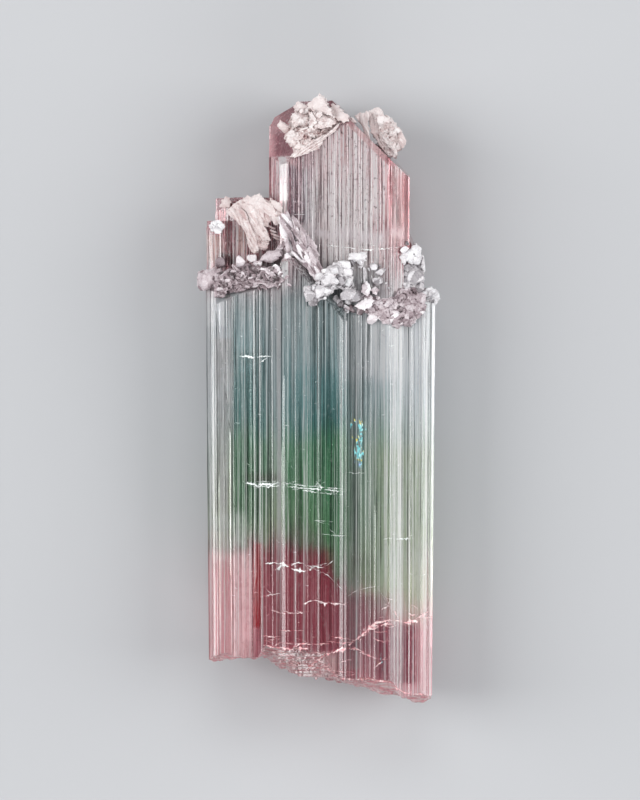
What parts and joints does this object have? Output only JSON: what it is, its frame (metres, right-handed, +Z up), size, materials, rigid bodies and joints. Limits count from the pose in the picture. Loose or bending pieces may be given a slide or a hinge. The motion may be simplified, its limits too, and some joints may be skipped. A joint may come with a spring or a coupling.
{
  "type": "elbaite tourmaline crystal with albite",
  "caption": "Long striated see-through tourmaline prism group, pink, blue-green and green along its length, with white bladed albite on its tips and shoulder and a broken base.",
  "frame": {"origin": "middle of the bounding box in X and Y, at the flat back face that the crystal lies on", "axes": "+Y along the crystal's long axis towards its tips, +Z up out of its front, +X to the right seen from the front with the tips up"},
  "size_m": [0.0407, 0.1006, 0.0224],
  "materials": {
    "tourmaline": "vitreous, striated along its length, zoned pink, grey, blue-green, green and red-pink",
    "white_albite": "pearly to vitreous feldspar blades",
    "pinkish_albite": "pearly to vitreous feldspar plates with a pink cast",
    "grey_crust": "granular feldspar crust with a lilac-grey cast, sparkling",
    "clear_albite": "small milky crystals with bright faces"
  },
  "bodies": {
    "root": {"tourmaline_crystal": "tourmaline", "albite_crown_left": "white_albite", "albite_crown_right": "pinkish_albite", "albite_fan_left": "white_albite", "albite_knob_left": "white_albite", "albite_collar_left": "grey_crust", "albite_collar_middle": "white_albite", "albite_collar_right": "grey_crust", "albite_knob_right": "white_albite", "albite_shoulder_right": "clear_albite"}
  },
  "joints": []
}
